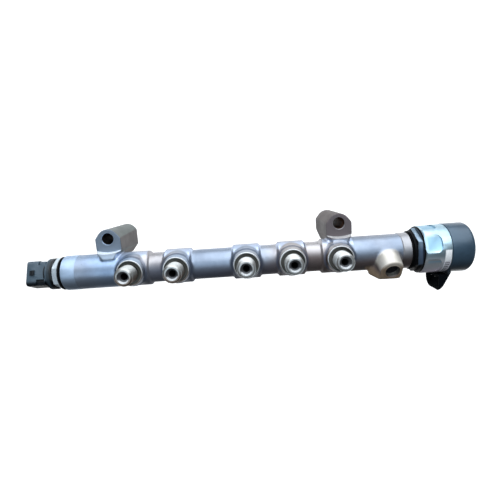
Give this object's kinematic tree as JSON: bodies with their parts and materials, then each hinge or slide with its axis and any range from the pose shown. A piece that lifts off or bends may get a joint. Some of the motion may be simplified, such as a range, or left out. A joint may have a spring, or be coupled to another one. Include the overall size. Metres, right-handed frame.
{
  "type": "fuel rail",
  "caption": "Forged common-rail fuel rail with threaded port studs, bolt bosses, a return port, a pressure sensor and a pressure control valve.",
  "frame": {"origin": "midway between the two bolt holes, on the plane of the bosses' seats", "axes": "+X along the rail from the sensor to the control valve, +Z along the bolt holes, from the seats to the port studs"},
  "size_m": [0.3472, 0.0656, 0.0755],
  "materials": {
    "forged_steel": "zinc-phosphated forged steel, satin",
    "zinc_plate": "bright zinc plate",
    "valve_plate": "bluish zinc plate",
    "black_oxide": "black oxide, satin",
    "turned_steel": "turned",
    "spring_steel": "drawn wire",
    "tinned_contact": "tinned",
    "copper_wire": "enamelled",
    "black_seal": "matt",
    "black_plastic": "fine grain",
    "cap_plastic": "fine grain",
    "support_plastic": "natural",
    "circuit_board": "lacquered"
  },
  "bodies": {
    "rail": {"rail_body": "forged_steel", "sensor_body": "zinc_plate", "sensor_seal_ring": "black_seal", "sensor_pressure_cell": "turned_steel", "sensor_circuit_board": "circuit_board", "sensor_connector": "black_plastic", "sensor_terminal_1": "tinned_contact", "sensor_terminal_2": "tinned_contact", "sensor_terminal_3": "tinned_contact", "nut_seal_ring": "black_seal", "valve_union_nut": "black_oxide", "valve_housing": "valve_plate", "valve_cap": "cap_plastic", "valve_terminal_1": "tinned_contact", "valve_terminal_2": "tinned_contact", "valve_body": "turned_steel", "chamber_seal_ring": "black_seal", "chamber_support_ring": "support_plastic", "valve_seat": "turned_steel", "valve_spring": "spring_steel", "armature_sleeve": "turned_steel", "coil_bobbin": "support_plastic", "coil": "copper_wire", "coil_yoke": "turned_steel"},
    "valve_armature": {"armature": "turned_steel", "armature_pin": "turned_steel", "valve_ball": "turned_steel"}
  },
  "joints": [
    {"name": "valve_lift", "type": "slide", "parent": "rail", "child": "valve_armature", "axis": [1, 0, 0], "range_m": [0, 0.0004], "stiffness_N_per_m": 8000, "springref_m": -0.0008, "deforming": ["valve_spring"]}
  ]
}
